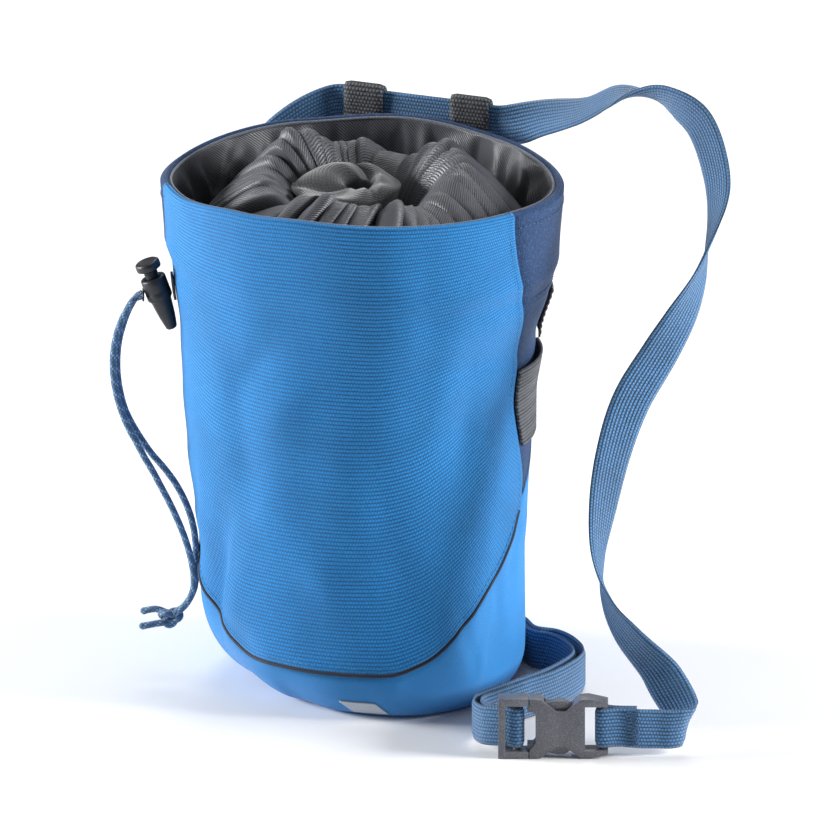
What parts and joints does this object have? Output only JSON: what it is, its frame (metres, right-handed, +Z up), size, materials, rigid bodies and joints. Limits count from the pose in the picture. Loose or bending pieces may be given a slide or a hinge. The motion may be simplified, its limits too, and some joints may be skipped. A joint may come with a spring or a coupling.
{
  "type": "climbing chalk bag",
  "caption": "Standing cylindrical chalk bag with a gathered drawcord neck, lined rim, cord lock, rear belt loops and a waist belt with a fastened side-release buckle.",
  "frame": {"origin": "centre of the bag's flat base, on the surface that it stands on", "axes": "+Z up, -Z out of the flat base; -Y towards the front panel; +X towards the brush sleeve and the belt's buckle"},
  "size_m": [0.2238, 0.1371, 0.2294],
  "materials": {
    "shell_azure": "fine horizontal rib weave, matt",
    "shell_blue": "heathered plain weave, matt",
    "lining_satin": "satin twill, soft sheen",
    "mouth_fleece": "soft brushed knit, matt",
    "elastic": "ribbed elastic, matt",
    "black_tape": "flat woven tape",
    "reflective": "retroreflective film",
    "black_plastic": "satin moulded plastic",
    "belt_webbing": "cross-ribbed webbing",
    "loop_webbing": "cross-ribbed webbing with light picks",
    "buckle_plastic": "speckled satin moulded plastic",
    "cord": "braided sheath"
  },
  "bodies": {
    "bag": {"base_panel": "shell_azure", "front_panel": "shell_azure", "back_panel": "shell_blue", "lining": "lining_satin", "gathered_collar": "lining_satin", "pouch_mouth": "mouth_fleece", "brush_sleeve": "elastic", "rear_tape": "black_tape", "reflective_patch": "reflective", "cord_eyelet": "black_plastic", "belt_webbing": "belt_webbing", "belt_loop_left": "loop_webbing", "belt_loop_right": "loop_webbing", "buckle_socket": "buckle_plastic", "buckle_clip": "buckle_plastic", "lock_barrel": "black_plastic", "drawcord_front": "cord", "drawcord_back": "cord", "cord_knot": "cord"},
    "plunger": {"lock_plunger": "black_plastic"}
  },
  "joints": [
    {"name": "plunger_press", "type": "slide", "parent": "bag", "child": "plunger", "axis": [0.3214, 0.117, -0.9397], "range_m": [0, 0.003], "stiffness_N_per_m": 250}
  ]
}
